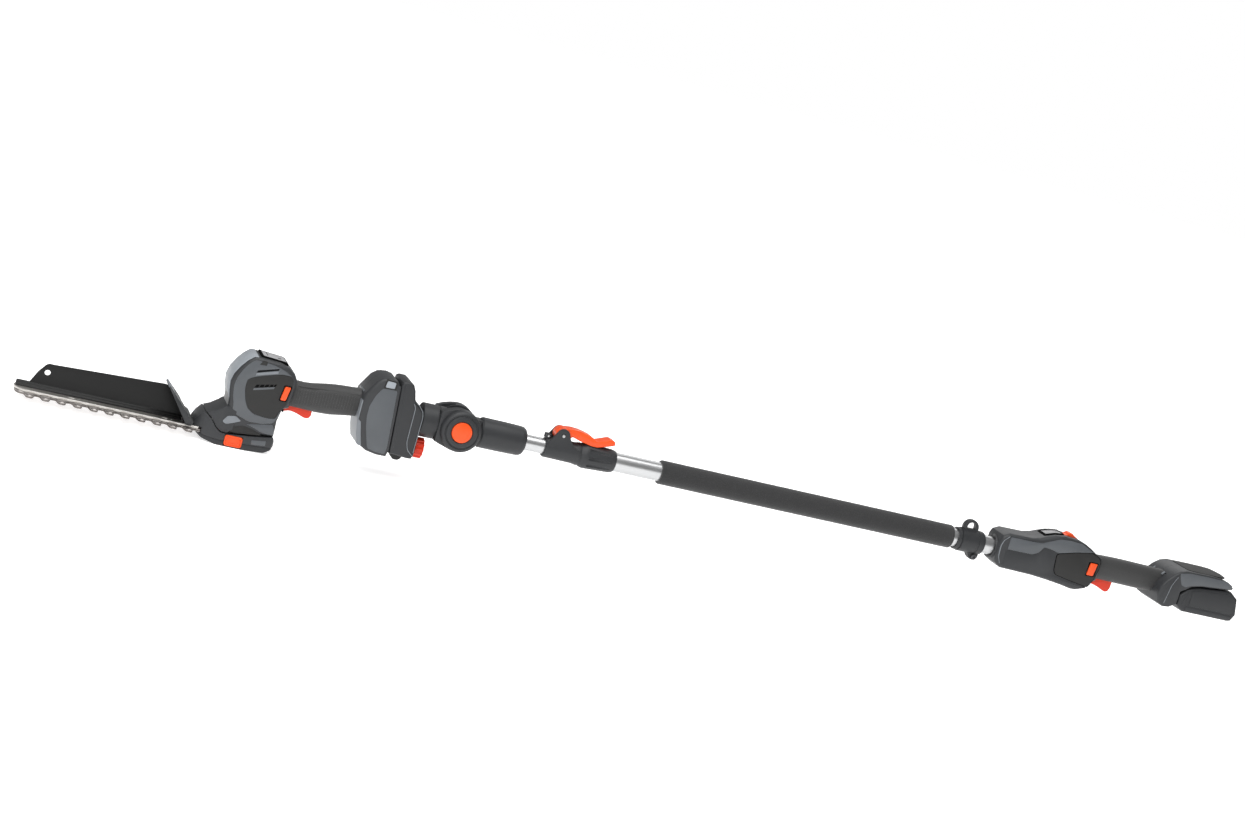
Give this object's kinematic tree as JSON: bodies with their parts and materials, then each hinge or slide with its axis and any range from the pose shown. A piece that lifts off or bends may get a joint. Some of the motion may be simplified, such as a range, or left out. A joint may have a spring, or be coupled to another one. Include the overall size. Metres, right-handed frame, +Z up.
{
  "type": "telescoping pole trimmer",
  "caption": "Battery shrub and hedge trimmer clipped to a telescoping aluminium pole with a tilting joint, lever clamp, foam grip, strap eye and rear control handle.",
  "frame": {"origin": "on the floor plane under the middle of the tool's box, with the pole level and the blade cassette's flat sole on the floor", "axes": "+X along the pole from the blade to the battery, +Z up, blade teeth flat in XY, -Y is the side with the strap collar's screw head"},
  "size_m": [1.7302, 0.07, 0.13],
  "materials": {
    "graphite": "fine moulded grain, satin",
    "dark_insert": "fine grain, matte",
    "orange": "satin gloss",
    "red": "satin gloss",
    "aluminium_tube": "clear anodised, fine drawn lines",
    "blade_steel": "brushed",
    "machine_steel": "turned",
    "black_plate": "satin black",
    "foam": "closed-cell foam, matte",
    "display_grey": "clear cover over light grey",
    "cell_wrap": "shrink wrap",
    "board_green": "solder mask"
  },
  "bodies": {
    "pole": {"outer_tube": "aluminium_tube", "foam_grip": "foam", "strap_collar": "graphite", "strap_screw": "machine_steel", "clamp_body": "dark_insert", "clamp_collar": "dark_insert", "clamp_pin": "machine_steel", "control_shell_near": "graphite", "control_shell_far": "graphite", "control_panel_near": "dark_insert", "control_panel_far": "dark_insert", "control_display": "display_grey", "switch_rear": "dark_insert", "control_board": "board_green", "dock_terminals": "dark_insert"},
    "clamp_handle": {"clamp_lever": "orange"},
    "inner_pole": {"inner_tube": "aluminium_tube", "tube_bush": "dark_insert", "rear_knuckle": "graphite", "pivot_axle": "machine_steel"},
    "tilt_head": {"front_knuckle": "graphite", "adapter_block": "graphite"},
    "adapter_catch": {"adapter_latch": "dark_insert"},
    "adapter_thumb_screw": {"adapter_knob": "red", "adapter_screw": "machine_steel"},
    "tilt_button_near": {"pivot_button_near": "orange"},
    "tilt_button_far": {"pivot_button_far": "orange"},
    "trimmer": {"trimmer_shell_near": "graphite", "trimmer_shell_far": "graphite", "vent_panel_near": "dark_insert", "vent_panel_far": "dark_insert", "trimmer_display": "display_grey", "motor": "machine_steel", "gear_axle": "machine_steel", "switch_front": "dark_insert"},
    "front_trigger": {"trigger_front": "red"},
    "front_lock": {"lock_bar_front": "orange"},
    "pinion": {"motor_pinion": "machine_steel"},
    "gear": {"drive_gear": "machine_steel"},
    "cassette": {"cassette_cover": "graphite", "cassette_plate": "graphite", "support_bar": "blade_steel", "blade_screw_front": "blade_steel", "blade_screw_rear": "blade_steel", "cuttings_plate": "black_plate", "blade_guard": "graphite"},
    "cam": {"blade_cam": "machine_steel"},
    "top_blade": {"blade_upper": "blade_steel"},
    "bottom_blade": {"blade_lower": "blade_steel"},
    "release_near": {"release_button_near": "orange"},
    "release_far": {"release_button_far": "orange"},
    "rear_trigger": {"trigger_rear": "red"},
    "rear_lock": {"lock_bar_rear": "orange"},
    "mode_slider": {"mode_switch": "orange"},
    "battery": {"battery_case": "graphite", "cell_pack": "cell_wrap"},
    "battery_catch": {"battery_latch": "dark_insert"}
  },
  "joints": [
    {"name": "telescope", "type": "slide", "parent": "pole", "child": "inner_pole", "axis": [-1, 0, 0], "range_m": [0, 0.45]},
    {"name": "clamp_lever_swing", "type": "hinge", "parent": "pole", "child": "clamp_handle", "pos_m": [-0.1746, 0, 0.1035], "axis": [0, 1, 0], "range_deg": [-140, 0]},
    {"name": "head_tilt", "type": "hinge", "parent": "inner_pole", "child": "tilt_head", "pos_m": [-0.3131, 0, 0.0825], "axis": [0, 1, 0], "range_deg": [-75, 75]},
    {"name": "tilt_button_near_push", "type": "slide", "parent": "tilt_head", "child": "tilt_button_near", "axis": [0, 1, 0], "range_m": [0, 0.004], "stiffness_N_per_m": 800, "springref_m": -0.002},
    {"name": "tilt_button_far_push", "type": "slide", "parent": "tilt_head", "child": "tilt_button_far", "axis": [0, -1, 0], "range_m": [0, 0.004], "stiffness_N_per_m": 800, "springref_m": -0.002},
    {"name": "adapter_latch_press", "type": "slide", "parent": "tilt_head", "child": "adapter_catch", "axis": [0, 0, 1], "range_m": [0, 0.0035], "stiffness_N_per_m": 600, "springref_m": -0.002},
    {"name": "thumb_screw_turn", "type": "hinge", "parent": "tilt_head", "child": "adapter_thumb_screw", "pos_m": [-0.3571, 0, 0.0452], "axis": [1, 0, 0], "range_deg": [-720, 0]},
    {"name": "trimmer_rail", "type": "slide", "parent": "tilt_head", "child": "trimmer", "axis": [-0.075, 0, 0.9972], "range_m": [0, 0.08]},
    {"name": "front_trigger_pull", "type": "hinge", "parent": "trimmer", "child": "front_trigger", "pos_m": [-0.5361, 0, 0.0695], "axis": [0, 1, 0], "range_deg": [-6, 0], "stiffness_Nm_per_rad": 0.6, "springref_deg": 8.59},
    {"name": "front_lock_push", "type": "slide", "parent": "trimmer", "child": "front_lock", "axis": [0, 1, 0], "range_m": [-0.0015, 0.0015], "stiffness_N_per_m": 400},
    {"name": "pinion_spin", "type": "hinge", "parent": "trimmer", "child": "pinion", "pos_m": [-0.5801, 0, 0.0395], "axis": [0, 0, 1], "continuous": true},
    {"name": "gear_spin", "type": "hinge", "parent": "trimmer", "child": "gear", "pos_m": [-0.5981, 0, 0.0385], "axis": [0, 0, 1], "continuous": true},
    {"name": "cassette_release", "type": "slide", "parent": "trimmer", "child": "cassette", "axis": [0, 0, -1], "range_m": [0, 0.05]},
    {"name": "cam_spin", "type": "hinge", "parent": "cassette", "child": "cam", "pos_m": [-0.5981, 0, 0.0125], "axis": [0, 0, 1], "continuous": true},
    {"name": "top_blade_stroke", "type": "slide", "parent": "cassette", "child": "top_blade", "axis": [1, 0, 0], "range_m": [-0.005, 0.005]},
    {"name": "bottom_blade_stroke", "type": "slide", "parent": "cassette", "child": "bottom_blade", "axis": [1, 0, 0], "range_m": [-0.005, 0.005]},
    {"name": "release_near_press", "type": "slide", "parent": "cassette", "child": "release_near", "axis": [0, 1, 0], "range_m": [0, 0.0025], "stiffness_N_per_m": 600, "springref_m": -0.0015},
    {"name": "release_far_press", "type": "slide", "parent": "cassette", "child": "release_far", "axis": [0, -1, 0], "range_m": [0, 0.0025], "stiffness_N_per_m": 600, "springref_m": -0.0015},
    {"name": "rear_trigger_pull", "type": "hinge", "parent": "pole", "child": "rear_trigger", "pos_m": [0.6429, 0, 0.0745], "axis": [0, 1, 0], "range_deg": [-9, 0], "stiffness_Nm_per_rad": 0.6, "springref_deg": 8.59},
    {"name": "rear_lock_push", "type": "slide", "parent": "pole", "child": "rear_lock", "axis": [0, 1, 0], "range_m": [-0.0015, 0.0015], "stiffness_N_per_m": 400},
    {"name": "mode_slide", "type": "slide", "parent": "pole", "child": "mode_slider", "axis": [1, 0, 0], "range_m": [0, 0.005]},
    {"name": "battery_slide", "type": "slide", "parent": "pole", "child": "battery", "axis": [1, 0, 0], "range_m": [0, 0.09]},
    {"name": "battery_latch_press", "type": "slide", "parent": "battery", "child": "battery_catch", "axis": [0, 0, -1], "range_m": [0, 0.0025], "stiffness_N_per_m": 600, "springref_m": -0.0015}
  ],
  "couplings": [
    {"joint": "gear_spin", "follows": "pinion_spin", "ratio": -0.38461},
    {"joint": "cam_spin", "follows": "pinion_spin", "ratio": -0.38461},
    {"joint": "bottom_blade_stroke", "follows": "top_blade_stroke", "ratio": -1}
  ]
}
